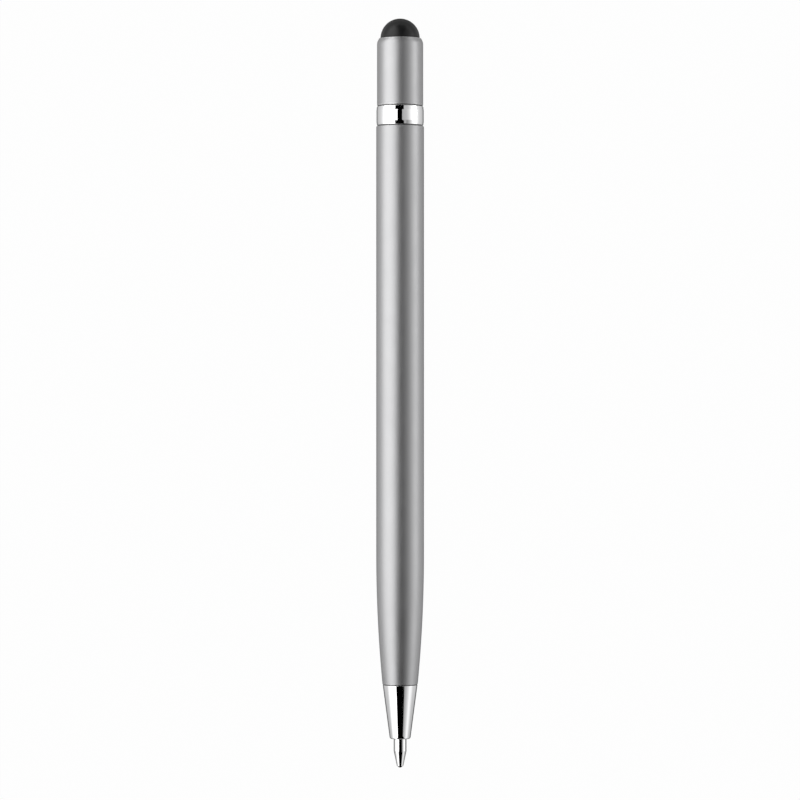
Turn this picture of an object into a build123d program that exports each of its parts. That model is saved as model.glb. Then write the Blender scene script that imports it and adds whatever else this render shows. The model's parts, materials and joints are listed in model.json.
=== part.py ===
from build123d import *
from math import atan2, cos, pi
import os

os.makedirs("parts", exist_ok=True)

# Twist-action ballpoint pen with a stylus dome, in millimetres, with its writing point out.
# It lies along Y with the point at -Y, and the origin is on the table under the middle of its length.

# Lengths along the outside, from the writing point to the stylus
point_reach = 5.2
nose_length = 9.6
barrel_length = 100.8
ring_length = 3.4
cap_length = 12.28
dome_height = 3.52

# Clearances
fit_gap = 0.02
run_gap = 0.05
twist_gap = 0.15
edge_break = 0.1
overrun = 1.0

# Writing point and refill
ball_diameter = 1.0
ball_gap = 0.015
point_diameter = 2.3
point_cone_length = 3.0
lip_setback = 0.3
lip_wall = 0.075
ink_channel_diameter = 0.6
stem_length = 3.0
nozzle_front_diameter = 2.6
nozzle_wall = 0.16
nozzle_length = 3.5
nozzle_spigot_length = 3.0
tube_diameter = 3.0
tube_wall = 0.45
follower_length = 4.0
empty_length = 22.0

# Nose cone
nose_front_diameter = 3.7
nose_step = 0.025
nose_edge_radius = 0.35
nose_edge_share = 0.6
nose_land_length = 3.6
chamber_diameter = 3.8
chamber_cone_length = 0.6
nozzle_room = 2.4
spigot_length = 6.0

# Barrel
barrel_diameter = 8.6
barrel_front_diameter = 6.3
barrel_front_wall = 0.48
barrel_wall = 0.45
taper_length = 23.6
barrel_edge_radius = 0.3

# Trim ring
ring_step = 0.05
ring_bevel_depth = 0.1
ring_bevel_length = 0.65
ring_lip_length = 0.6

# Twist mechanism, whose walls share the room between the refill and the barrel
travel = 5.6
twist_angle = 180
full_turn = 360
carrier_wall_share = 0.26
cam_wall_share = 0.25
housing_spigot_share = 0.45
cam_nose_length = 0.8
cam_tail_length = 0.6
pin_diameter = 1.2
pin_recess = 0.15
pin_web = 0.8
slot_rear_margin = 1.15
slot_front_margin = 4.0
carrier_tail_web = 1.0
carrier_vent_diameter = 0.8
socket_depth = 4.0
clip_thickness = 0.45
clip_width = 0.83
clip_depth = 0.25
clip_mouth_width = 3.6
washer_thickness = 0.4

# Cap and stylus
cap_step = 0.15
cap_wall = 0.4
cap_crown_length = 1.17
cap_rim_width = 0.6
cap_lip_length = 1.3
cap_lip_flat = 0.06
dome_wall = 0.8
flange_overlap = 0.16
flange_thickness = 0.6
plug_thickness = 1.2
plug_post_length = 1.4
bush_room = 1.6

# Places along the pen
overall_length = point_reach + nose_length + barrel_length + ring_length + cap_length + dome_height
tip_y = -overall_length / 2
nose_y = tip_y + point_reach
barrel_y = nose_y + nose_length
ring_y = barrel_y + barrel_length
cap_y = ring_y + ring_length
rim_y = cap_y + cap_length
dome_top_y = rim_y + dome_height
slot_width = pin_diameter + 2 * run_gap
pin_y = ring_y - slot_rear_margin - slot_width / 2 - travel

# Radii that more than one piece follows, from the refill out to the barrel and then at the two ends
tube_radius = tube_diameter / 2
tube_bore_radius = tube_radius - tube_wall
nozzle_spigot_radius = tube_bore_radius - fit_gap
stem_radius = nozzle_spigot_radius - nozzle_wall - fit_gap
socket_radius = tube_radius + fit_gap
barrel_radius = barrel_diameter / 2
barrel_bore_radius = barrel_radius - barrel_wall
housing_radius = barrel_bore_radius - fit_gap
mechanism_room = housing_radius - socket_radius - 2 * run_gap
carrier_radius = socket_radius + mechanism_room * carrier_wall_share
cam_wall = mechanism_room * cam_wall_share
cam_bore_radius = carrier_radius + run_gap
cam_radius = cam_bore_radius + cam_wall
turning_radius = cam_radius + run_gap
ring_seat_radius = turning_radius + (housing_radius - turning_radius) * housing_spigot_share
pin_radius = pin_diameter / 2
point_radius = point_diameter / 2
ball_radius = ball_diameter / 2
barrel_front_radius = barrel_front_diameter / 2
barrel_seat_radius = barrel_front_radius - barrel_front_wall
ring_radius = barrel_radius - ring_step
cap_radius = barrel_radius - cap_step
cap_bore_radius = cap_radius - cap_wall
cap_mouth_radius = cap_radius - cap_rim_width
dome_radius = cap_mouth_radius - fit_gap

# The pen's axis, with the upright plane through it for profiles and the level one for the pin and its slots
axis_height = barrel_radius
PEN_AXIS = Axis((0, 0, axis_height), (0, 1, 0))
PROFILE = Plane(origin=(0, 0, axis_height), x_dir=(0, 1, 0), z_dir=(1, 0, 0))
LEVEL = Plane(origin=(0, 0, axis_height), x_dir=(0, 1, 0), z_dir=(0, 0, 1))


def across(y):
    """The plane square to the pen at a place along it."""
    return Plane(origin=(0, y, axis_height), x_dir=(1, 0, 0), z_dir=(0, 1, 0))


def rims(piece):
    """A turned piece's circular edges, in groups from the writing point to the stylus."""
    return piece.edges().filter_by(GeomType.CIRCLE).group_by(Axis.Y)


def outer_rim(group):
    """The largest circle of a group of circular edges."""
    return group.sort_by(SortBy.RADIUS)[-1]


# Nose cone: a bore that guides the writing point, and a spigot that the barrel is pressed on
nose_bore_radius = point_radius + run_gap
nose_front_radius = nose_front_diameter / 2
nose_edge = min(nose_edge_radius, nose_edge_share * (nose_front_radius - nose_bore_radius))
chamber_radius = chamber_diameter / 2
spigot_radius = barrel_seat_radius - fit_gap
spigot_end_y = barrel_y + spigot_length
land_end_y = nose_y + nose_land_length
chamber_y = land_end_y + chamber_cone_length
with BuildPart() as nose_cone:
    with BuildSketch(PROFILE):
        with BuildLine():
            Polyline(
                (nose_y, nose_bore_radius),
                (nose_y, nose_front_radius),
                (barrel_y, barrel_front_radius - nose_step),
                (barrel_y, spigot_radius),
                (spigot_end_y, spigot_radius),
                (spigot_end_y, chamber_radius),
                (chamber_y, chamber_radius),
                (land_end_y, nose_bore_radius),
                close=True,
            )
        make_face()
    revolve(axis=PEN_AXIS)
    fillet(outer_rim(rims(nose_cone)[0]), nose_edge)
    chamfer(outer_rim(rims(nose_cone)[-1]), edge_break)
    chamfer(outer_rim(nose_cone.edges().filter_by(GeomType.CIRCLE)), edge_break)
nose_cone.part.label = "nose_cone"
export_step(nose_cone.part, "parts/nose_cone.step")

# Barrel: a thin tube whose outside narrows in one long arc to the nose
taper_end_y = barrel_y + taper_length
with BuildPart() as barrel:
    with BuildSketch(PROFILE):
        with BuildLine():
            TangentArc((taper_end_y, barrel_radius), (barrel_y, barrel_front_radius), tangent=(-1, 0))
            Polyline(
                (barrel_y, barrel_front_radius),
                (barrel_y, barrel_seat_radius),
                (spigot_end_y, barrel_seat_radius),
            )
            TangentArc(
                (taper_end_y, barrel_bore_radius), (spigot_end_y, barrel_seat_radius), tangent=(-1, 0)
            )
            Polyline(
                (taper_end_y, barrel_bore_radius),
                (ring_y, barrel_bore_radius),
                (ring_y, barrel_radius),
                (taper_end_y, barrel_radius),
            )
        make_face()
    revolve(axis=PEN_AXIS)
    fillet(outer_rim(rims(barrel)[-1]), barrel_edge_radius)
    chamfer(outer_rim(rims(barrel)[0]), edge_break)
barrel.part.label = "barrel"
export_step(barrel.part, "parts/barrel.step")

# Friction ring: a round-section rubber ring that fills the room between the cam tube and the trim ring
friction_section = ring_seat_radius - cam_radius - 2 * fit_gap
friction_room = friction_section + 2 * fit_gap
ring_lip_y = cap_y - ring_lip_length
friction_y = ring_lip_y - friction_room / 2
with BuildPart() as friction_ring:
    with BuildSketch(PROFILE):
        with Locations((friction_y, (cam_radius + ring_seat_radius) / 2)):
            Circle(friction_section / 2)
    revolve(axis=PEN_AXIS)
friction_ring.part.label = "friction_ring"
export_step(friction_ring.part, "parts/friction_ring.step")

# Trim ring: a band with a shallow bevel at each end, and an inner lip at the cap's end
ring_end_radius = ring_radius - ring_bevel_depth
with BuildPart() as trim_ring:
    with BuildSketch(PROFILE):
        with BuildLine():
            Polyline(
                (ring_y, ring_seat_radius),
                (ring_y, ring_end_radius),
                (ring_y + ring_bevel_length, ring_radius),
                (cap_y - ring_bevel_length, ring_radius),
                (cap_y, ring_end_radius),
                (cap_y, turning_radius),
                (ring_lip_y, turning_radius),
                (ring_lip_y, ring_seat_radius),
                close=True,
            )
        make_face()
    revolve(axis=PEN_AXIS)
trim_ring.part.label = "trim_ring"
export_step(trim_ring.part, "parts/trim_ring.step")

# Guide housing: the fixed tube in the barrel's back end, with a straight slot on each side for the pin
housing_front_y = pin_y - slot_width / 2 - slot_front_margin
housing_spigot_radius = ring_seat_radius - fit_gap
housing_spigot_y = friction_y - friction_room / 2
with BuildPart() as guide_housing:
    with BuildSketch(PROFILE):
        with BuildLine():
            Polyline(
                (housing_front_y, turning_radius),
                (housing_front_y, housing_radius),
                (ring_y, housing_radius),
                (ring_y, housing_spigot_radius),
                (housing_spigot_y, housing_spigot_radius),
                (housing_spigot_y, turning_radius),
                close=True,
            )
        make_face()
    revolve(axis=PEN_AXIS)
    chamfer(outer_rim(rims(guide_housing)[0]), edge_break)
    with BuildSketch(LEVEL):
        with Locations((pin_y + travel / 2, 0)):
            SlotOverall(travel + slot_width, slot_width)
    extrude(amount=housing_radius + overrun, both=True, mode=Mode.SUBTRACT)
guide_housing.part.label = "guide_housing"
export_step(guide_housing.part, "parts/guide_housing.step")

# Slip washer: a thin washer on the trim ring's back face, inside the cap
washer_y = cap_y + washer_thickness
with BuildPart() as slip_washer:
    with BuildSketch(across(cap_y)):
        Circle(cap_bore_radius - run_gap)
        Circle(turning_radius, mode=Mode.SUBTRACT)
    extrude(amount=washer_thickness)
slip_washer.part.label = "slip_washer"
export_step(slip_washer.part, "parts/slip_washer.step")

# Upper cap: a cup whose crown rounds over to the stylus, with an inner lip that holds the dome's flange
cap_front_y = cap_y + twist_gap
cap_lip_y = rim_y - cap_lip_length
with BuildPart() as upper_cap:
    with BuildSketch(PROFILE):
        with BuildLine():
            TangentArc(
                (rim_y - cap_crown_length, cap_radius),
                (rim_y, cap_mouth_radius + cap_lip_flat),
                tangent=(1, 0),
            )
            Polyline(
                (rim_y, cap_mouth_radius + cap_lip_flat),
                (rim_y, cap_mouth_radius),
                (cap_lip_y, cap_mouth_radius),
                (cap_lip_y, cap_bore_radius),
                (cap_front_y, cap_bore_radius),
                (cap_front_y, cap_radius),
                (rim_y - cap_crown_length, cap_radius),
            )
        make_face()
    revolve(axis=PEN_AXIS)
    chamfer(outer_rim(rims(upper_cap)[0]), edge_break)
upper_cap.part.label = "upper_cap"
export_step(upper_cap.part, "parts/upper_cap.step")

# Stylus dome: a hollow rubber dome with a flange under the cap's lip
dome_y = dome_top_y - dome_radius
flange_y = cap_lip_y - flange_thickness
flange_radius = dome_radius + flange_overlap
dome_hollow_radius = dome_radius - dome_wall
with BuildPart() as stylus_dome:
    with BuildSketch(PROFILE):
        with BuildLine():
            RadiusArc((dome_y, dome_radius), (dome_top_y, 0), dome_radius)
            Line((dome_top_y, 0), (dome_top_y - dome_wall, 0))
            RadiusArc((dome_y, dome_hollow_radius), (dome_top_y - dome_wall, 0), dome_hollow_radius)
            Polyline(
                (dome_y, dome_hollow_radius),
                (flange_y, dome_hollow_radius),
                (flange_y, flange_radius),
                (cap_lip_y, flange_radius),
                (cap_lip_y, dome_radius),
                (dome_y, dome_radius),
            )
        make_face()
    revolve(axis=PEN_AXIS)
stylus_dome.part.label = "stylus_dome"
export_step(stylus_dome.part, "parts/stylus_dome.step")

# Stylus plug: a disc pressed into the cap behind the flange, with a post inside the dome
plug_y = flange_y - plug_thickness
with BuildPart() as stylus_plug:
    with BuildSketch(across(plug_y)):
        Circle(cap_bore_radius - fit_gap)
    extrude(amount=plug_thickness)
    with BuildSketch(across(flange_y)):
        Circle(dome_hollow_radius - fit_gap)
    extrude(amount=plug_post_length)
    chamfer(outer_rim(rims(stylus_plug)[-1]), edge_break)
stylus_plug.part.label = "stylus_plug"
export_step(stylus_plug.part, "parts/stylus_plug.step")

# Drive bush: fixes the cam tube in the cap
bush_front_y = washer_y + run_gap
bush_rear_y = plug_y - bush_room
with BuildPart() as drive_bush:
    with BuildSketch(across(bush_front_y)):
        Circle(cap_bore_radius - fit_gap)
        Circle(cam_radius + fit_gap, mode=Mode.SUBTRACT)
    extrude(amount=bush_rear_y - bush_front_y)
    chamfer(outer_rim(rims(drive_bush)[-1]), edge_break)
drive_bush.part.label = "drive_bush"
export_step(drive_bush.part, "parts/drive_bush.step")

# Helical cutter: the left-handed path that the pin takes through the cam tube in one twist
cam_lead = travel * full_turn / twist_angle
cam_mid_radius = (cam_radius + cam_bore_radius) / 2
helix_slope = atan2(cam_lead, 2 * pi * cam_bore_radius)
slot_height = pin_diameter / cos(helix_slope) + 2 * run_gap
with BuildPart() as slot_cutter:
    with BuildLine() as slot_path:
        Helix(cam_lead, travel, cam_mid_radius, (0, pin_y, axis_height), (0, 1, 0), lefthand=True)
    with BuildSketch(PROFILE):
        with Locations((pin_y, cam_mid_radius)):
            Rectangle(slot_height, cam_wall + overrun)
    sweep(path=slot_path.line, is_frenet=True)

# Cam tube: the turning tube, with a helical slot on each side and a groove for the clip
clip_y = housing_front_y - run_gap - clip_thickness
cam_front_y = clip_y - cam_nose_length
cam_rear_y = bush_rear_y + cam_tail_length
groove_radius = cam_radius - clip_depth
with BuildPart() as cam_tube:
    with BuildSketch(across(cam_front_y)):
        Circle(cam_radius)
        Circle(cam_bore_radius, mode=Mode.SUBTRACT)
    extrude(amount=cam_rear_y - cam_front_y)
    with BuildSketch(across(clip_y - fit_gap)):
        Circle(cam_radius + overrun)
        Circle(groove_radius, mode=Mode.SUBTRACT)
    extrude(amount=clip_thickness + 2 * fit_gap, mode=Mode.SUBTRACT)
    with BuildSketch(LEVEL):
        with Locations((pin_y, 0), (pin_y + travel, 0)):
            Circle(slot_width / 2)
    extrude(amount=cam_radius + overrun, both=True, mode=Mode.SUBTRACT)
    add(slot_cutter.part, mode=Mode.SUBTRACT)
    add(slot_cutter.part.rotate(PEN_AXIS, full_turn / 2), mode=Mode.SUBTRACT)
cam_tube.part.label = "cam_tube"
export_step(cam_tube.part, "parts/cam_tube.step")

# Retaining clip: an open spring clip in the cam tube's groove, in front of the housing
clip_bore_radius = groove_radius + fit_gap
clip_radius = clip_bore_radius + clip_width
with BuildPart() as retaining_clip:
    with BuildSketch(across(clip_y)):
        Circle(clip_radius)
        Circle(clip_bore_radius, mode=Mode.SUBTRACT)
        Rectangle(
            clip_radius + overrun,
            clip_mouth_width,
            align=(Align.MIN, Align.CENTER),
            mode=Mode.SUBTRACT,
        )
    extrude(amount=clip_thickness)
retaining_clip.part.label = "retaining_clip"
export_step(retaining_clip.part, "parts/retaining_clip.step")

# Refill carrier: the slider in the cam tube, with a socket for the refill and a cross hole for the pin
refill_tail_y = pin_y - pin_radius - pin_web
socket_y = refill_tail_y - socket_depth
carrier_rear_y = pin_y + pin_radius + carrier_tail_web
with BuildPart() as refill_carrier:
    with BuildSketch(across(socket_y)):
        Circle(carrier_radius)
    extrude(amount=carrier_rear_y - socket_y)
    with BuildSketch(across(socket_y)):
        Circle(socket_radius)
    extrude(amount=socket_depth, mode=Mode.SUBTRACT)
    with BuildSketch(across(socket_y)):
        Circle(carrier_vent_diameter / 2)
    extrude(amount=carrier_rear_y - socket_y, mode=Mode.SUBTRACT)
    with BuildSketch(LEVEL):
        with Locations((pin_y, 0)):
            Circle(pin_radius + fit_gap)
    extrude(amount=carrier_radius + overrun, both=True, mode=Mode.SUBTRACT)
    chamfer(outer_rim(rims(refill_carrier)[-1]), edge_break)
refill_carrier.part.label = "refill_carrier"
export_step(refill_carrier.part, "parts/refill_carrier.step")

# Carrier pin: runs through the carrier, the helical slots and the straight slots
with BuildPart() as carrier_pin:
    with BuildSketch(LEVEL):
        with Locations((pin_y, 0)):
            Circle(pin_radius)
    extrude(amount=housing_radius - pin_recess, both=True)
    chamfer(carrier_pin.edges().filter_by(GeomType.CIRCLE), edge_break)
carrier_pin.part.label = "carrier_pin"
export_step(carrier_pin.part, "parts/carrier_pin.step")

# Refill point: a metal cone on a straight shank, with a seat for the ball and a stem for the nozzle
ball_y = tip_y + ball_radius
lip_y = tip_y + lip_setback
nozzle_y = chamber_y + nozzle_room
stem_end_y = nozzle_y + stem_length
ink_channel_radius = ink_channel_diameter / 2
with BuildPart() as refill_point:
    with BuildSketch(PROFILE):
        with BuildLine():
            Polyline(
                (lip_y, ink_channel_radius),
                (lip_y, ball_radius + lip_wall),
                (tip_y + point_cone_length, point_radius),
                (nozzle_y, point_radius),
                (nozzle_y, stem_radius),
                (stem_end_y, stem_radius),
                (stem_end_y, ink_channel_radius),
                close=True,
            )
        make_face()
    revolve(axis=PEN_AXIS)
    with Locations((0, ball_y, axis_height)):
        Sphere(ball_radius + ball_gap, mode=Mode.SUBTRACT)
refill_point.part.label = "refill_point"
export_step(refill_point.part, "parts/refill_point.step")

# Tip ball
with BuildPart() as tip_ball:
    with Locations((0, ball_y, axis_height)):
        Sphere(ball_radius)
tip_ball.part.label = "tip_ball"
export_step(tip_ball.part, "parts/tip_ball.step")

# Refill nozzle: joins the point to the ink tube
tube_y = nozzle_y + nozzle_length
nozzle_end_y = tube_y + nozzle_spigot_length
with BuildPart() as refill_nozzle:
    with BuildSketch(PROFILE):
        with BuildLine():
            Polyline(
                (nozzle_y, stem_radius + fit_gap),
                (nozzle_y, nozzle_front_diameter / 2),
                (tube_y, tube_radius),
                (tube_y, nozzle_spigot_radius),
                (nozzle_end_y, nozzle_spigot_radius),
                (nozzle_end_y, stem_radius + fit_gap),
                close=True,
            )
        make_face()
    revolve(axis=PEN_AXIS)
refill_nozzle.part.label = "refill_nozzle"
export_step(refill_nozzle.part, "parts/refill_nozzle.step")

# Refill tube
with BuildPart() as refill_tube:
    with BuildSketch(across(tube_y)):
        Circle(tube_radius)
        Circle(tube_bore_radius, mode=Mode.SUBTRACT)
    extrude(amount=refill_tail_y - tube_y)
refill_tube.part.label = "refill_tube"
export_step(refill_tube.part, "parts/refill_tube.step")

# Ink, from the point's stem through the nozzle into the tube, and the grease plug that follows it
ink_end_y = refill_tail_y - empty_length
with BuildPart() as ink:
    with BuildSketch(across(stem_end_y)):
        Circle(stem_radius)
    extrude(amount=nozzle_end_y - stem_end_y)
    with BuildSketch(across(nozzle_end_y)):
        Circle(nozzle_spigot_radius)
    extrude(amount=ink_end_y - nozzle_end_y)
ink.part.label = "ink"
export_step(ink.part, "parts/ink.step")

with BuildPart() as ink_follower:
    with BuildSketch(across(ink_end_y)):
        Circle(nozzle_spigot_radius)
    extrude(amount=follower_length)
ink_follower.part.label = "ink_follower"
export_step(ink_follower.part, "parts/ink_follower.step")
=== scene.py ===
import json
from math import asin, atan2, ceil, cos, pi, radians, sin, sqrt, tan

import bpy
from mathutils import Matrix, Vector


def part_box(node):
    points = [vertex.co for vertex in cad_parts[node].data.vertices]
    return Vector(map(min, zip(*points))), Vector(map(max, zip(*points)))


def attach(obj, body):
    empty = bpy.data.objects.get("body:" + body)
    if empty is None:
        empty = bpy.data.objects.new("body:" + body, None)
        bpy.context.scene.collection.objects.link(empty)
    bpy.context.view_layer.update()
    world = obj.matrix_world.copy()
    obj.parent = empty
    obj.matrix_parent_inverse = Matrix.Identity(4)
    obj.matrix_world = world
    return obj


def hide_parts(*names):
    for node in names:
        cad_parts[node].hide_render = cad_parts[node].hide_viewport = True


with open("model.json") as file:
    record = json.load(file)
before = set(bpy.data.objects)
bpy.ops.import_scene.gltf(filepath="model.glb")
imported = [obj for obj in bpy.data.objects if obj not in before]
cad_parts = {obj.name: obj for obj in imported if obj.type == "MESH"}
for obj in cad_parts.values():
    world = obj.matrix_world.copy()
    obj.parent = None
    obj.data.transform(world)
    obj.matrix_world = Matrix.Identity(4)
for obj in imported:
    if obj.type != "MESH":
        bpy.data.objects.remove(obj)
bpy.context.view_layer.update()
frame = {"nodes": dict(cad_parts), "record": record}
cad_nodes = frame["nodes"]
MM = 0.001

# Places along the pen and radii, read from the solids


def front(node):
    """Where a solid starts, on the writing point's side."""
    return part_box(node)[0].y


def back(node):
    """Where a solid ends, on the stylus's side."""
    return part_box(node)[1].y


def radius(node):
    """A round solid's largest radius."""
    low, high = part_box(node)
    return max(high.x - low.x, high.z - low.z) / 2


barrel_low, barrel_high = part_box("barrel")
axis_height = (barrel_low.z + barrel_high.z) / 2
tip_y = front("tip_ball")
nose_y = front("nose_cone")
spigot_end_y = back("nose_cone")
barrel_y = front("barrel")
ring_y = front("trim_ring")
ring_back_y = back("trim_ring")
cap_y = front("upper_cap")
rim_y = back("upper_cap")
flange_y = front("stylus_dome")
dome_top_y = back("stylus_dome")
lip_y = front("refill_point")
nozzle_y = front("refill_nozzle")
stem_end_y = back("refill_point")

# Small sizes of the turned pieces, which the solids' boxes don't tell

# Fits, edges and seams
fit_gap = 0.02 * MM
run_gap = 0.05 * MM
edge_break = 0.1 * MM
fine_break = 0.04 * MM
seam_width = 0.2 * MM
seam_depth = 0.25 * MM

# Nose cone
nose_front_radius = 1.85 * MM
nose_edge_radius = 0.35 * MM
nose_step = 0.025 * MM
nose_shoulder = 0.1 * MM
nose_land_length = 3.6 * MM
chamber_radius = 1.9 * MM
chamber_cone_length = 0.6 * MM

# Barrel
barrel_front_radius = 3.15 * MM
barrel_front_wall = 0.48 * MM
barrel_wall = 0.45 * MM
barrel_edge_radius = 0.12 * MM
taper_length = 23.6 * MM

# Trim ring
ring_bevel_depth = 0.08 * MM
ring_front_bevel = 0.63 * MM
ring_back_bevel = 0.75 * MM
ring_setback = 0.075 * MM
ring_bevel_edge = 0.2 * MM
ring_lip_length = 0.6 * MM

# Cap and stylus dome
cap_wall = 0.4 * MM
cap_skirt = 0.08 * MM
cap_front_edge = 0.2 * MM
cap_crown_length = 1.17 * MM
cap_rim_width = 0.6 * MM
cap_lip_length = 1.3 * MM
cap_bead_height = 0.2 * MM
cap_bead_width = 0.31 * MM
cap_bead_edge = 0.18 * MM
cap_rim_setback = 0.045 * MM
dome_wall = 0.8 * MM
dome_crown_height = 1.2 * MM
dome_foot_height = 0.4 * MM

# Writing point
point_cone_length = 3.0 * MM
lip_wall = 0.075 * MM
ball_gap = 0.015 * MM
stem_radius = 0.85 * MM
ink_channel_radius = 0.3 * MM

# How finely outlines are drawn
FACETS = 180
LONGEST_RUN = 1.2 * MM
CURVE_STEPS = 12
CORNER_STEP = radians(7)
FEWEST_CORNER_STEPS = 3
ARC_STEP = CORNER_STEP / 3

# Shares of a run: a support point's greatest distance from its corner, and what counts as no distance
LARGEST_SUPPORT = 1 / 3
SAME_PLACE = 0.001

# Points of a turned mesh that are nearer to each other than this are joined
WELD = 0.0002 * MM

# Outlines: lists of (y, r, rounding) that run towards the stylus on the outside and back on the inside.
# An open one starts and ends on the pen's axis


def arc(centre_y, centre_r, arc_radius, start, end):
    """Points of an arc, with angles measured from +Y towards larger radii."""
    steps = ceil(abs(end - start) / ARC_STEP)
    turns = [start + (end - start) * step / steps for step in range(steps + 1)]
    return [(centre_y + arc_radius * cos(turn), centre_r + arc_radius * sin(turn), 0) for turn in turns]


def narrowing(flat_y, flat_r, end_y, end_r, stop_y=None):
    """An arc that leaves the straight at flat_y and narrows to end_r at end_y, or stops at stop_y."""
    length = end_y - flat_y
    depth = flat_r - end_r
    arc_radius = (length**2 + depth**2) / (2 * depth)
    centre_r = flat_r - arc_radius
    drawn = length if stop_y is None else stop_y - flat_y
    steps = ceil(abs(drawn) / LONGEST_RUN) + CURVE_STEPS
    places = [drawn * step / steps for step in range(steps + 1)]
    return [(flat_y + place, centre_r + sqrt(arc_radius**2 - place**2), 0) for place in places]


def corner_arc(corner, before, after, rounding):
    """The rounded corner's points, tangent to the runs on both sides."""
    to_before = (before - corner).normalized()
    to_after = (after - corner).normalized()
    half = to_before.angle(to_after) / 2
    reach = rounding / tan(half)
    centre = corner + (to_before + to_after).normalized() * rounding / sin(half)
    first = corner + to_before * reach - centre
    last = corner + to_after * reach - centre
    sweep = atan2(first.x * last.y - first.y * last.x, first.dot(last))
    steps = max(FEWEST_CORNER_STEPS, ceil(abs(sweep) / CORNER_STEP))
    return [Matrix.Rotation(sweep * step / steps, 2) @ first + centre for step in range(steps + 1)]


def run_points(start, end, start_rounding, end_rounding):
    """The points between two corners: a support point beside each rounding, and a long run divided."""
    length = (end - start).length
    first = min(start_rounding / length, LARGEST_SUPPORT)
    last = 1 - min(end_rounding / length, LARGEST_SUPPORT)
    parts = ceil(length / LONGEST_RUN)
    shares = [first + (last - first) * part / parts for part in range(parts + 1)]
    return [start.lerp(end, share) for share in shares if SAME_PLACE < share < 1 - SAME_PLACE]


def outline(corners, closed):
    """The points of an outline: corners rounded, long runs divided."""
    places = [Vector((y, r)) for y, r, _ in corners]
    roundings = [rounding for _, _, rounding in corners]
    bends = []
    for index, rounding in enumerate(roundings):
        if rounding:
            after = places[(index + 1) % len(places)]
            bends.append(corner_arc(places[index], places[index - 1], after, rounding))
        else:
            bends.append([places[index]])
    points = []
    for index, bend in enumerate(bends):
        points += bend
        following = (index + 1) % len(bends)
        if following or closed:
            points += run_points(bend[-1], bends[following][0], roundings[index], roundings[following])
    return points


# Node trees


def feed(tree, node, inputs):
    """Sets a node's inputs. Each is a value, or a socket to link from."""
    for label, given in inputs.items():
        if isinstance(given, bpy.types.NodeSocket):
            tree.links.new(given, node.inputs[label])
        else:
            node.inputs[label].default_value = given


def put(tree, kind, inputs=None, **settings):
    """Adds a node with its settings and inputs."""
    node = tree.nodes.new(kind)
    for label, setting in settings.items():
        setattr(node, label, setting)
    feed(tree, node, inputs or {})
    return node


def calc(tree, operation, *values):
    """A math node's result."""
    return put(tree, "ShaderNodeMath", dict(enumerate(values)), operation=operation).outputs[0]


def turning_tree():
    """The lathe: takes an outline's points in order and turns them about the pen's axis."""
    tree = bpy.data.node_groups.new("lathe", "GeometryNodeTree")
    socket = tree.interface.new_socket
    socket("Outline", in_out="INPUT", socket_type="NodeSocketGeometry")
    for name, kind in (
        ("Facets", "NodeSocketInt"),
        ("Closed", "NodeSocketBool"),
        ("Axis height", "NodeSocketFloat"),
        ("Weld", "NodeSocketFloat"),
        ("Finish", "NodeSocketMaterial"),
    ):
        socket(name, in_out="INPUT", socket_type=kind)
    socket("Turned", in_out="OUTPUT", socket_type="NodeSocketGeometry")
    given = tree.nodes.new("NodeGroupInput").outputs

    # A flat grid: a column for each point of the outline, a row for each facet, and those that close it
    size = put(tree, "GeometryNodeAttributeDomainSize", {"Geometry": given["Outline"]})
    count = size.outputs["Point Count"]
    columns = calc(tree, "ADD", count, given["Closed"])
    rows = calc(tree, "ADD", given["Facets"], 1)
    grid = put(tree, "GeometryNodeMeshGrid", {"Vertices X": columns, "Vertices Y": rows})
    index = put(tree, "GeometryNodeInputIndex").outputs[0]
    column = calc(tree, "FLOOR", calc(tree, "DIVIDE", index, rows))
    row = calc(tree, "SUBTRACT", index, calc(tree, "MULTIPLY", column, rows))

    # Each grid point goes to its column's point of the outline, turned by its row
    wanted = {
        "Geometry": given["Outline"],
        "Value": put(tree, "GeometryNodeInputPosition").outputs[0],
        "Index": calc(tree, "MODULO", column, count),
    }
    sample = put(tree, "GeometryNodeSampleIndex", wanted, data_type="FLOAT_VECTOR", domain="POINT")
    point = put(tree, "ShaderNodeSeparateXYZ", {0: sample.outputs[0]}).outputs

    # Turned this way round, the faces point outwards
    whole_turn = -2 * pi
    turn = calc(tree, "DIVIDE", calc(tree, "MULTIPLY", row, whole_turn), given["Facets"])
    x = calc(tree, "MULTIPLY", point["Z"], calc(tree, "SINE", turn))
    z = calc(tree, "MULTIPLY_ADD", point["Z"], calc(tree, "COSINE", turn), given["Axis height"])
    place = put(tree, "ShaderNodeCombineXYZ", {"X": x, "Y": point["Y"], "Z": z}).outputs[0]

    shape = grid.outputs["Mesh"]
    for kind, inputs in (
        ("GeometryNodeSetPosition", {"Position": place}),
        ("GeometryNodeMergeByDistance", {"Distance": given["Weld"]}),
        ("GeometryNodeSetShadeSmooth", {"Shade Smooth": True}),
        ("GeometryNodeRealizeInstances", {}),
        ("GeometryNodeSetMaterial", {"Material": given["Finish"]}),
    ):
        shape = put(tree, kind, {"Geometry": shape, **inputs}).outputs[0]
    put(tree, "NodeGroupOutput", {"Turned": shape})
    return tree


LATHE = turning_tree()


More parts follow.
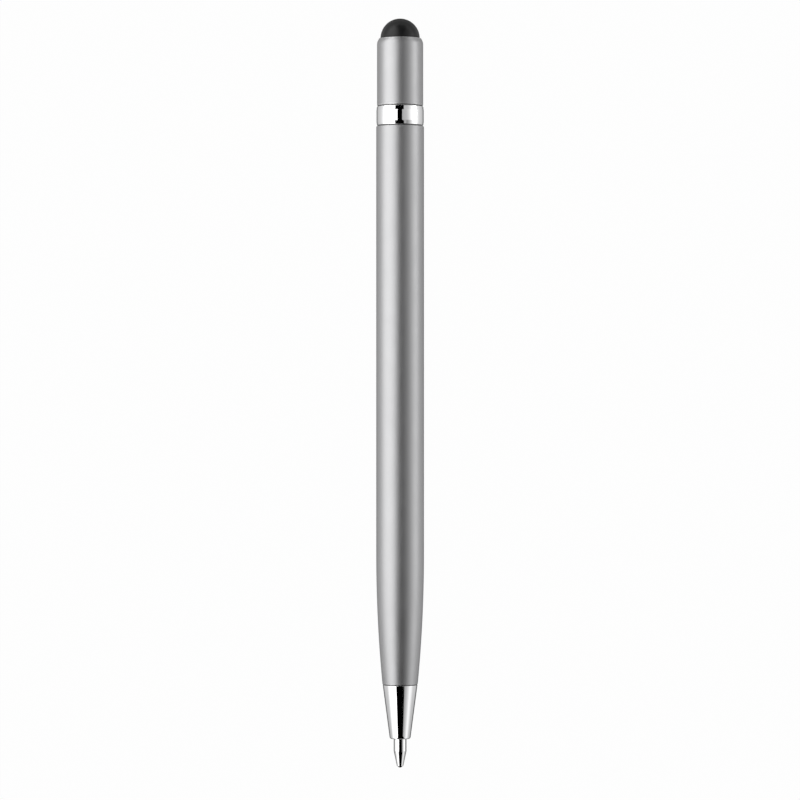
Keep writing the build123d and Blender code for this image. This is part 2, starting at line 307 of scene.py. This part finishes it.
def turn_piece(name, corners, finish, closed):
    """A turned piece as a plain mesh, in place."""
    points = outline(corners, closed)
    blank = bpy.data.meshes.new(name + "_outline")
    blank.from_pydata([(0, y, r) for y, r in points], [], [])
    piece = bpy.data.objects.new(name, blank)
    bpy.context.scene.collection.objects.link(piece)
    lathe = piece.modifiers.new("lathe", "NODES")
    lathe.node_group = LATHE
    settings = {
        "Facets": FACETS,
        "Closed": closed,
        "Axis height": axis_height,
        "Weld": WELD,
        "Finish": finish,
    }
    for label, setting in settings.items():
        lathe[LATHE.interface.items_tree[label].identifier] = setting
    shown = piece.evaluated_get(bpy.context.evaluated_depsgraph_get())
    turned = bpy.data.meshes.new_from_object(shown)
    piece.modifiers.clear()
    piece.data = turned
    bpy.data.meshes.remove(blank)
    return piece


# Finishes


def new_material(name):
    """An empty material and its node tree."""
    material = bpy.data.materials.new(name)
    material.use_nodes = True
    material.node_tree.nodes.clear()
    return material, material.node_tree


def new_finish(name):
    """A material with one Principled shader, and the piece's own coordinates in metres."""
    finish, tree = new_material(name)
    shader = put(tree, "ShaderNodeBsdfPrincipled")
    put(tree, "ShaderNodeOutputMaterial", {"Surface": shader.outputs[0]})
    place = put(tree, "ShaderNodeTexCoord").outputs["Object"]
    return finish, tree, shader, place


def noise(tree, place, grain, detail=2.0, squeeze=(1, 1, 1)):
    """Noise with spots about one grain across, in metres, squeezed by a factor along each axis."""
    scale = [factor / grain for factor in squeeze]
    moved = put(tree, "ShaderNodeMapping", {"Vector": place, "Scale": scale}).outputs[0]
    spots = put(tree, "ShaderNodeTexNoise", {"Vector": moved, "Scale": 1.0, "Detail": detail})
    return spots.outputs["Fac"]


def spread(tree, factor, first, last, start=0.3, end=0.7):
    """Maps a factor that goes from start to end to values from first to last."""
    inputs = {"Value": factor, "From Min": start, "From Max": end, "To Min": first, "To Max": last}
    return put(tree, "ShaderNodeMapRange", inputs).outputs[0]


def blend_colours(tree, factor, first, second):
    """A blend of two colours, each (red, green, blue) or a socket."""
    ends = [end if isinstance(end, bpy.types.NodeSocket) else (*end, 1) for end in (first, second)]
    inputs = {"Factor": factor, "A": ends[0], "B": ends[1]}
    return put(tree, "ShaderNodeMix", inputs, data_type="RGBA").outputs["Result"]


def shaded(colour, share):
    """A colour at a share of its brightness."""
    return [part * share for part in colour]


def relief(tree, height, depth, strength):
    """Bumps of a given depth in metres."""
    bumps = {"Height": height, "Distance": depth, "Strength": strength}
    return put(tree, "ShaderNodeBump", bumps).outputs[0]


def rim_wear(tree, place, rims, width):
    """1 at the rims that rub, 0 away from them, broken up by noise."""
    along = put(tree, "ShaderNodeSeparateXYZ", {0: place}).outputs["Y"]
    worn = None
    for rim in rims:
        away = calc(tree, "ABSOLUTE", calc(tree, "SUBTRACT", along, rim))
        near = spread(tree, away, first=1.0, last=0.0, start=0.0, end=width)
        worn = near if worn is None else calc(tree, "MAXIMUM", worn, near)
    spots = noise(tree, place, grain=0.5 * MM, detail=3.0)
    patches = spread(tree, spots, first=0.0, last=1.0, start=0.4, end=0.6)
    return calc(tree, "MULTIPLY", worn, patches)


def satin_silver():
    """Silver lacquer over metal: a fine even grain, a little brighter where the rims rub."""
    finish, tree, shader, place = new_finish("satin_silver")
    dark_flake = (0.405, 0.405, 0.41)
    bright_flake = (0.435, 0.435, 0.44)
    rubbed = (0.55, 0.55, 0.55)
    flakes = noise(tree, place, grain=0.12 * MM)
    silver = blend_colours(tree, flakes, dark_flake, bright_flake)
    worn = rim_wear(tree, place, (barrel_y, ring_y, cap_y, rim_y), width=0.35 * MM)
    clouds = noise(tree, place, grain=4 * MM)
    grain = noise(tree, place, grain=0.09 * MM, detail=3.0)
    looks = {
        "Base Color": blend_colours(tree, worn, silver, rubbed),
        "Metallic": 1.0,
        "Specular Tint": (0.8, 0.8, 0.805, 1),
        "Roughness": spread(tree, clouds, first=0.405, last=0.435),
        "Normal": relief(tree, grain, depth=0.004 * MM, strength=0.35),
    }
    feed(tree, shader, looks)
    return finish


def chrome():
    """Polished plating with faint polishing lines round the pen and a few smudges."""
    finish, tree, shader, place = new_finish("chrome")
    smudges = noise(tree, place, grain=2.5 * MM, detail=3.0)
    lines = noise(tree, place, grain=1.5 * MM, squeeze=(1, 30, 1))
    looks = {
        "Base Color": (0.9, 0.9, 0.905, 1),
        "Metallic": 1.0,
        "Specular Tint": (0.45, 0.45, 0.455, 1),
        "Roughness": spread(tree, smudges, first=0.025, last=0.06),
        "Normal": relief(tree, lines, depth=0.001 * MM, strength=0.1),
    }
    feed(tree, shader, looks)
    return finish


def stylus_rubber():
    """Conductive rubber with a fine moulded grain, duller at the rim and rubbed smoother on its crown."""
    finish, tree, shader, place = new_finish("stylus_rubber")
    black = (0.003, 0.003, 0.0031)
    dark_grey = (0.006, 0.006, 0.0062)
    specks = noise(tree, place, grain=0.15 * MM, detail=3.0)
    along = put(tree, "ShaderNodeSeparateXYZ", {0: place}).outputs["Y"]
    crown_y = dome_top_y - dome_crown_height
    polished = spread(tree, along, first=0.0, last=0.06, start=crown_y, end=dome_top_y)
    dulled = spread(tree, along, first=0.1, last=0.0, start=rim_y, end=rim_y + dome_foot_height)
    clouds = spread(tree, noise(tree, place, grain=0.8 * MM), first=0.33, last=0.39)
    grain = noise(tree, place, grain=0.14 * MM)
    looks = {
        "Base Color": blend_colours(tree, specks, black, dark_grey),
        "Specular IOR Level": 0.36,
        "Roughness": calc(tree, "ADD", clouds, calc(tree, "SUBTRACT", dulled, polished)),
        "Normal": relief(tree, grain, depth=0.01 * MM, strength=0.5),
    }
    feed(tree, shader, looks)
    return finish


def turned_metal(name, colour, roughness, line_depth):
    """Metal off the lathe: fine rings round the pen."""
    finish, tree, shader, place = new_finish(name)
    rings = noise(tree, place, grain=1.2 * MM, detail=3.0, squeeze=(1, 24, 1))
    looks = {
        "Base Color": blend_colours(tree, rings, shaded(colour, share=0.9), colour),
        "Metallic": 1.0,
        "Specular Tint": (0.45, 0.45, 0.45, 1),
        "Roughness": spread(tree, rings, first=roughness * 0.8, last=roughness * 1.25),
        "Normal": relief(tree, rings, depth=line_depth, strength=0.25),
    }
    feed(tree, shader, looks)
    return finish


def ball_carbide():
    """Hard ball, lapped smooth, with a film of ink that is thicker in its pores."""
    finish, tree, shader, place = new_finish("ball_carbide")
    inked = (0.025, 0.025, 0.028)
    bare = (0.05, 0.05, 0.054)
    pores = noise(tree, place, grain=0.05 * MM)
    looks = {
        "Base Color": blend_colours(tree, pores, inked, bare),
        "Metallic": 1.0,
        "Roughness": spread(tree, pores, first=0.06, last=0.14),
    }
    feed(tree, shader, looks)
    return finish


def moulded(name, colour, roughness, clear=0.0):
    """A moulded or poured stuff with slight clouds: nylon, plastic, rubber, ink or grease."""
    finish, tree, shader, place = new_finish(name)
    clouds = noise(tree, place, grain=1.5 * MM, detail=3.0)
    grain = noise(tree, place, grain=0.2 * MM)
    looks = {
        "Base Color": blend_colours(tree, clouds, shaded(colour, share=0.92), colour),
        "Roughness": spread(tree, clouds, first=roughness * 0.85, last=roughness * 1.15),
        "Transmission Weight": clear,
        "Normal": relief(tree, grain, depth=0.004 * MM, strength=0.3),
    }
    feed(tree, shader, looks)
    return finish


finishes = {
    "satin_silver": satin_silver(),
    "chrome": chrome(),
    "stylus_rubber": stylus_rubber(),
    "seal_rubber": moulded("seal_rubber", (0.02, 0.02, 0.02), roughness=0.6),
    "brass": turned_metal("brass", (0.72, 0.52, 0.22), roughness=0.24, line_depth=0.004 * MM),
    "spring_steel": turned_metal("spring_steel", (0.5, 0.5, 0.51), roughness=0.3, line_depth=0.003 * MM),
    "white_nylon": moulded("white_nylon", (0.8, 0.8, 0.78), roughness=0.5),
    "nickel_silver": turned_metal(
        "nickel_silver", (0.82, 0.82, 0.815), roughness=0.06, line_depth=0.001 * MM
    ),
    "ball_carbide": ball_carbide(),
    "clear_plastic": moulded("clear_plastic", (0.82, 0.83, 0.82), roughness=0.22, clear=0.8),
    "ink": moulded("ink", (0.01, 0.015, 0.08), roughness=0.15),
    "grease": moulded("grease", (0.75, 0.7, 0.55), roughness=0.25, clear=0.5),
}

# The turned pieces that show


def nose_outline():
    """A cone with a spigot for the barrel, a close bore for the point and a chamber behind it."""
    rear_radius = barrel_front_radius - nose_step
    spigot_radius = barrel_front_radius - barrel_front_wall - fit_gap
    bore_radius = radius("refill_point") + run_gap
    shoulder_y = barrel_y + nose_shoulder
    land_end_y = nose_y + nose_land_length
    return [
        (nose_y, bore_radius, fine_break),
        (nose_y, nose_front_radius, nose_edge_radius),
        (shoulder_y, rear_radius, fine_break),
        (shoulder_y, spigot_radius, 0),
        (spigot_end_y, spigot_radius, edge_break),
        (spigot_end_y, chamber_radius, fine_break),
        (land_end_y + chamber_cone_length, chamber_radius, 0),
        (land_end_y, bore_radius, 0),
    ]


def barrel_outline():
    """A tube that narrows in one long arc to the nose, with a groove before the ring."""
    outside = radius("barrel")
    bore_radius = outside - barrel_wall
    seat_radius = barrel_front_radius - barrel_front_wall
    taper_y = barrel_y + taper_length
    front_edge_y = barrel_y + seam_width
    back_edge_y = ring_y - seam_width
    taper = narrowing(taper_y, outside, barrel_y, barrel_front_radius, front_edge_y)
    bore = narrowing(taper_y, bore_radius, spigot_end_y, seat_radius)
    _, front_edge_radius, _ = taper.pop()
    return [
        (front_edge_y, front_edge_radius, edge_break),
        *reversed(taper),
        (back_edge_y, outside, barrel_edge_radius),
        (back_edge_y, outside - seam_depth, 0),
        (ring_y, outside - seam_depth, 0),
        (ring_y, bore_radius, fine_break),
        *bore,
        (front_edge_y, seat_radius, fine_break),
    ]


def ring_outline():
    """A band with a shallow bevel at each end, and an inner lip at the cap's end."""
    outside = radius("trim_ring")
    end_radius = outside - ring_bevel_depth
    seat_radius = radius("friction_ring") + fit_gap
    lip_radius = radius("cam_tube") + run_gap
    ring_lip_y = ring_back_y - ring_lip_length
    back_edge_y = ring_back_y - ring_setback
    return [
        (ring_y, seat_radius, fine_break),
        (ring_y, end_radius, fine_break),
        (ring_y + ring_front_bevel, outside, ring_bevel_edge),
        (back_edge_y - ring_back_bevel, outside, ring_bevel_edge),
        (back_edge_y, end_radius, fine_break),
        (ring_back_y, end_radius - seam_depth, 0),
        (ring_back_y, lip_radius, fine_break),
        (ring_lip_y, lip_radius, fine_break),
        (ring_lip_y, seat_radius, 0),
    ]


def cap_outline():
    """A cup whose crown rounds over to a bead, with an inner lip that holds the dome's flange."""
    outside = radius("upper_cap")
    bore_radius = outside - cap_wall
    mouth_radius = outside - cap_rim_width
    skirt_y = cap_y - cap_skirt
    inner_lip_y = rim_y - cap_lip_length
    edge_y = rim_y - cap_rim_setback
    bead_y = edge_y - cap_bead_height
    bead_radius = mouth_radius + cap_bead_width
    crown = narrowing(rim_y - cap_crown_length, outside, bead_y, bead_radius)
    return [
        (skirt_y, bore_radius, fine_break),
        (skirt_y, outside, cap_front_edge),
        *crown,
        (edge_y, bead_radius - fine_break / 2, cap_bead_edge),
        (edge_y, mouth_radius, fine_break),
        (inner_lip_y, mouth_radius, 0),
        (inner_lip_y, bore_radius, 0),
    ]


def dome_outline():
    """A hollow half ball on a short neck, with a flange under the cap's lip."""
    outside = radius("upper_cap") - cap_rim_width - fit_gap
    hollow = outside - dome_wall
    flange_radius = radius("stylus_dome")
    inner_lip_y = rim_y - cap_lip_length
    centre_y = dome_top_y - outside
    return [
        *arc(centre_y, 0, hollow, 0, pi / 2),
        (flange_y, hollow, 0),
        (flange_y, flange_radius, fine_break),
        (inner_lip_y, flange_radius, fine_break),
        (inner_lip_y, outside, 0),
        *arc(centre_y, 0, outside, pi / 2, 0),
    ]


def point_outline():
    """A cone and a shank with a stem behind, bored for the ink, with a seat that wraps round the ball."""
    outside = radius("refill_point")
    ball_radius = radius("tip_ball")
    ball_y = tip_y + ball_radius
    seat_radius = ball_radius + ball_gap
    channel_turn = asin(ink_channel_radius / seat_radius)
    lip_turn = pi / 2 + asin((ball_y - lip_y) / seat_radius)
    return [
        (lip_y, ball_radius + lip_wall, fine_break / 2),
        (tip_y + point_cone_length, outside, edge_break),
        (nozzle_y, outside, fine_break),
        (nozzle_y, stem_radius, 0),
        (stem_end_y, stem_radius, fine_break),
        (stem_end_y, ink_channel_radius, 0),
        *arc(ball_y, 0, seat_radius, channel_turn, lip_turn),
    ]


def ball_outline():
    """Half a circle."""
    ball_radius = radius("tip_ball")
    return arc(tip_y + ball_radius, 0, ball_radius, pi, 0)


# Each piece's name, its outline and whether that is closed, the node it stands for, its body and its slot
turned_pieces = [
    ("nose_shell", nose_outline(), True, "nose_cone", "barrel", "chrome"),
    ("barrel_shell", barrel_outline(), True, "barrel", "barrel", "satin_silver"),
    ("ring_band", ring_outline(), True, "trim_ring", "barrel", "chrome"),
    ("cap_shell", cap_outline(), True, "upper_cap", "cap", "satin_silver"),
    ("dome_rubber", dome_outline(), False, "stylus_dome", "cap", "stylus_rubber"),
    ("point_turned", point_outline(), True, "refill_point", "refill", "nickel_silver"),
    ("ball_lapped", ball_outline(), False, "tip_ball", "ball", "ball_carbide"),
]
replaced_nodes = []
for name, corners, closed, node, body, slot in turned_pieces:
    piece = turn_piece(name, corners, finishes[slot], closed)
    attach(piece, body)
    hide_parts(node)
    replaced_nodes.append(node)

# The inner pieces keep their solids and take their slots' finishes
for subpart in frame["record"]["subparts"]:
    if subpart["node"] not in replaced_nodes:
        materials = cad_nodes[subpart["node"]].data.materials
        materials.clear()
        materials.append(finishes[subpart["material_slot"]])

# Stage: a pale floor, two cloth softboxes bent over the pen, and a dark gap between them
WHITE = (1, 1, 1, 1)
BLACK = (0, 0, 0, 1)


def stage_mesh(name, points, faces, material):
    """A mesh that isn't part of the pen."""
    mesh = bpy.data.meshes.new(name)
    mesh.from_pydata(points, [], faces)
    mesh.materials.append(material)
    thing = bpy.data.objects.new(name, mesh)
    bpy.context.scene.collection.objects.link(thing)
    return thing


def overhead_band(name, ribs, material):
    """A band over the pen that the camera doesn't see, through ribs that each join two points."""
    points = [point for rib in ribs for point in rib]
    starts = range(0, len(points) - 2, 2)
    faces = [(start, start + 1, start + 3, start + 2) for start in starts]
    stage_mesh(name, points, faces, material).visible_camera = False


def whiteness(tree, seen, mirrored):
    """A share of white for what the camera sees, and one for what shows in metal or through plastic."""
    path = put(tree, "ShaderNodeLightPath").outputs
    bounced = calc(tree, "MAXIMUM", path["Is Glossy Ray"], path["Is Transmission Ray"])
    direct = calc(tree, "MULTIPLY", path["Is Camera Ray"], seen)
    return calc(tree, "MAXIMUM", direct, calc(tree, "MULTIPLY", bounced, mirrored))


# Softbox cloth, in stops across the pen: the degrees from straight up, and the light's strength ahead of
# the point, over the barrel, over the cap and behind the dome
LEFT_CLOTH = [
    (-97, 0.8, 1.7, 1.85, 1.5),
    (-80, 1.15, 2.0, 2.15, 2.0),
    (-60, 1.85, 2.15, 2.15, 2.35),
    (-45, 1.85, 2.15, 2.15, 2.2),
    (-25, 1.65, 1.9, 1.95, 1.5),
    (-10, 1.4, 1.65, 1.95, 1.1),
]
RIGHT_CLOTH = [
    (7, 0.2, 0.4, 0.42, 0.6),
    (30, 0.34, 0.42, 0.55, 0.55),
    (33, 0.38, 0.24, 0.6, 0.5),
    (40, 0.46, 0.36, 0.7, 0.5),
    (50, 0.62, 0.58, 0.95, 0.6),
    (62, 0.86, 1.0, 1.5, 0.75),
    (72, 1.1, 1.38, 2.0, 1.2),
    (85, 0.95, 1.85, 2.8, 1.4),
    (97, 0.7, 1.85, 2.8, 1.3),
]

# Where along the pen one strength passes into the next
AHEAD_TO_BARREL = (-0.34, -0.14)
BARREL_TO_CAP = (0.08, 0.13)
CAP_TO_BEHIND = (0.24, 0.48)

CLOTH_RADIUS = 1.0
CLOTH_REACH = 2.4
CLOTH_STEP = 4


def cloth_material(name, stops):
    """Cloth that glows on its inside, as its stops say."""
    material, tree = new_material(name)
    place = put(tree, "ShaderNodeTexCoord").outputs["Object"]
    place = put(tree, "ShaderNodeSeparateXYZ", {0: place}).outputs
    height = calc(tree, "SUBTRACT", place["Z"], axis_height)
    angle = calc(tree, "ARCTAN2", place["X"], height)
    strengths = stops[0][1:]
    for low, high in zip(stops, stops[1:]):
        rise = spread(tree, angle, first=0.0, last=1.0, start=radians(low[0]), end=radians(high[0]))
        steps = [end - start for start, end in zip(low[1:], high[1:])]
        strengths = [calc(tree, "MULTIPLY_ADD", rise, *pair) for pair in zip(steps, strengths)]
    ahead, over_barrel, over_cap, behind = strengths
    strength = spread(tree, place["Y"], ahead, over_barrel, *AHEAD_TO_BARREL)
    strength = spread(tree, place["Y"], strength, over_cap, *BARREL_TO_CAP)
    strength = spread(tree, place["Y"], strength, behind, *CAP_TO_BEHIND)
    inside = calc(tree, "SUBTRACT", 1.0, put(tree, "ShaderNodeNewGeometry").outputs["Backfacing"])
    glow = put(tree, "ShaderNodeEmission", {"Strength": calc(tree, "MULTIPLY", strength, inside)})
    put(tree, "ShaderNodeOutputMaterial", {"Surface": glow.outputs[0]})
    return material


def softbox(name, stops):
    """Cloth on an arc over the pen, from its first stop's angle to its last one's."""
    start = stops[0][0]
    end = stops[-1][0]
    steps = ceil((end - start) / CLOTH_STEP)
    ribs = []
    for step in range(steps + 1):
        angle = radians(start + (end - start) * step / steps)
        x = CLOTH_RADIUS * sin(angle)
        z = axis_height + CLOTH_RADIUS * cos(angle)
        ribs.append([(x, -CLOTH_REACH, z), (x, CLOTH_REACH, z)])
    overhead_band(name, ribs, cloth_material(name, stops))


softbox("left_softbox", LEFT_CLOTH)
softbox("right_softbox", RIGHT_CLOTH)

# The dark gap, a band over the pen from end to end, whose width shapes the black streaks in the chrome.
# A station is the degrees along the pen from straight up, and the degrees to the left and right edges
GAP_STATIONS = [
    (-90, -26, 38),
    (-33, -26, 38),
    (-25, -23.5, 27.5),
    (-22, -32, 14),
    (-16, -21, 30),
    (-10, -20.5, 32),
    (-6.5, -26, 17.5),
    (0, -10, 32),
    (7.6, -13.5, 9.8),
    (14, -6, 12),
    (20.5, -23.5, 17.5),
    (28, -7, 20),
    (60, -15, 26),
    (80, -20, 24),
]
GAP_STEPS = 8
GAP_RADIUS = 0.85


def dark_gap():
    """Black card whose edges swing smoothly from station to station."""
    material, tree = new_material("dark_gap")
    black = put(tree, "ShaderNodeBsdfDiffuse", {"Color": BLACK})
    put(tree, "ShaderNodeOutputMaterial", {"Surface": black.outputs[0]})
    stations = [Vector(GAP_STATIONS[0])]
    for start, end in zip(GAP_STATIONS, GAP_STATIONS[1:]):
        for step in range(1, GAP_STEPS + 1):
            share = step / GAP_STEPS
            eased = (1 - cos(pi * share)) / 2
            station = Vector(start).lerp(Vector(end), eased)
            station.x = start[0] + (end[0] - start[0]) * share
            stations.append(station)
    ribs = []
    for along, left, right in stations:
        y = GAP_RADIUS * sin(radians(along))
        z = axis_height + GAP_RADIUS * cos(radians(along))
        ribs.append([(GAP_RADIUS * tan(radians(side)), y, z) for side in (left, right)])
    overhead_band("dark_gap", ribs, material)


dark_gap()

# The floor as the camera sees it: not quite white round the pen, and a painted contact shadow where the
# barrel touches it, a strip where less white is mixed in so that the grey floor shows darker there, with
# its real shadow on it
FLOOR_REACH = 4.0
FLOOR_GREY = (0.2, 0.2, 0.2, 1)
FLOOR_WHITENESS = 0.985
FULL_WHITE_ZONE = (0.1, 0.6)
SHADOW_DEPTH = 0.65
SHADOW_SIDE = (1.8 * MM, 4.25 * MM)
SHADOW_FRONT_FADE = 8 * MM
SHADOW_BACK_FADE = 4 * MM

# The floor as metal shows it, with painted shade: dark beside the pen, brighter further off, and dimmer
# past both ends
NEAR_GLOW = 0.68
NEAR_ZONE = (4 * MM, 9 * MM)
FAR_GLOW = 0.32
FAR_ZONE = (18 * MM, 60 * MM)
AHEAD_GLOW = 0.75
BEHIND_GLOW = 0.4
BEHIND_FADE = 15 * MM


def floor_material():
    """Pale grey that the camera sees as white, with the pen's real shadow still in it, a painted contact
    shadow along the barrel, and painted shade beside the pen in what metal shows of it.
    """
    material, tree = new_material("floor")
    lit = put(tree, "ShaderNodeBsdfDiffuse", {"Color": FLOOR_GREY})
    white = put(tree, "ShaderNodeEmission", {"Color": WHITE, "Strength": 1.0})
    place = put(tree, "ShaderNodeTexCoord").outputs["Object"]
    away = put(tree, "ShaderNodeVectorMath", {0: place}, operation="LENGTH").outputs["Value"]
    place = put(tree, "ShaderNodeSeparateXYZ", {0: place}).outputs
    aside = calc(tree, "ABSOLUTE", place["X"])

    # Painted contact shadow: a strip along the barrel where less white is mixed in, so the grey floor and
    # its real shadow show darker
    touch_y = barrel_y + taper_length
    shadow = spread(tree, place["Y"], 0.0, 1.0, touch_y - SHADOW_FRONT_FADE, touch_y + SHADOW_FRONT_FADE)
    back_end = spread(tree, place["Y"], 1.0, 0.0, rim_y - SHADOW_BACK_FADE, rim_y)
    shadow = calc(tree, "MULTIPLY", shadow, back_end)
    shadow = calc(tree, "MULTIPLY", shadow, spread(tree, aside, SHADOW_DEPTH, 0.0, *SHADOW_SIDE))
    seen = calc(tree, "SUBTRACT", spread(tree, away, FLOOR_WHITENESS, 1.0, *FULL_WHITE_ZONE), shadow)

    # Painted shade in what metal shows of the floor: less white close to the pen and past both its ends
    beyond = calc(tree, "SUBTRACT", calc(tree, "ABSOLUTE", place["Y"]), dome_top_y)
    beyond = calc(tree, "MAXIMUM", beyond, 0.0)
    squared = calc(tree, "MULTIPLY_ADD", aside, aside, calc(tree, "MULTIPLY", beyond, beyond))
    clear = calc(tree, "SQRT", squared)
    near = spread(tree, clear, 0.0, NEAR_GLOW, *NEAR_ZONE)
    far = spread(tree, clear, 0.0, FAR_GLOW, *FAR_ZONE)
    behind = spread(tree, place["Y"], 1.0, BEHIND_GLOW, dome_top_y, dome_top_y + BEHIND_FADE)
    ahead = spread(tree, place["Y"], AHEAD_GLOW, 1.0, nose_y, barrel_y)
    past_ends = calc(tree, "MULTIPLY", ahead, behind)
    mirrored = calc(tree, "MULTIPLY", calc(tree, "ADD", near, far), past_ends)

    factor = whiteness(tree, seen, mirrored)
    shown = put(tree, "ShaderNodeMixShader", {0: factor, 1: lit.outputs[0], 2: white.outputs[0]})
    put(tree, "ShaderNodeOutputMaterial", {"Surface": shown.outputs[0]})
    return material


floor_sides = [(-1, -1), (1, -1), (1, 1), (-1, 1)]
floor_corners = [(x * FLOOR_REACH, y * FLOOR_REACH, 0) for x, y in floor_sides]
stage_mesh("floor", floor_corners, [(0, 1, 2, 3)], floor_material())

ROOM_LIGHT = 0.5


def white_room():
    """White behind everything, and dim as a light."""
    world = bpy.data.worlds.new("white_room")
    world.use_nodes = True
    tree = world.node_tree
    tree.nodes.clear()
    shown = whiteness(tree, seen=1.0, mirrored=1.0)
    strength = spread(tree, shown, first=ROOM_LIGHT, last=1.0, start=0.0, end=1.0)
    glow = put(tree, "ShaderNodeBackground", {"Color": WHITE, "Strength": strength})
    put(tree, "ShaderNodeOutputWorld", {"Surface": glow.outputs[0]})
    bpy.context.scene.world = world


white_room()

# Camera: straight above the pen, with its writing point at the bottom of the picture
CAMERA_HEIGHT = 0.66
CAMERA_X = -0.02 * MM
CAMERA_Y = -1.24 * MM
PICTURE_WIDTH = 144 * MM
SENSOR_WIDTH = 36.0
FARTHEST_VIEW = 20.0
camera_data = bpy.data.cameras.new("camera")
camera_data.sensor_width = SENSOR_WIDTH
camera_data.lens = SENSOR_WIDTH * (CAMERA_HEIGHT - axis_height) / PICTURE_WIDTH
camera_data.clip_end = FARTHEST_VIEW
camera = bpy.data.objects.new("camera", camera_data)
camera.location = (CAMERA_X, CAMERA_Y, CAMERA_HEIGHT)
bpy.context.scene.collection.objects.link(camera)
bpy.context.scene.camera = camera
bpy.context.scene.view_settings.view_transform = "Standard"
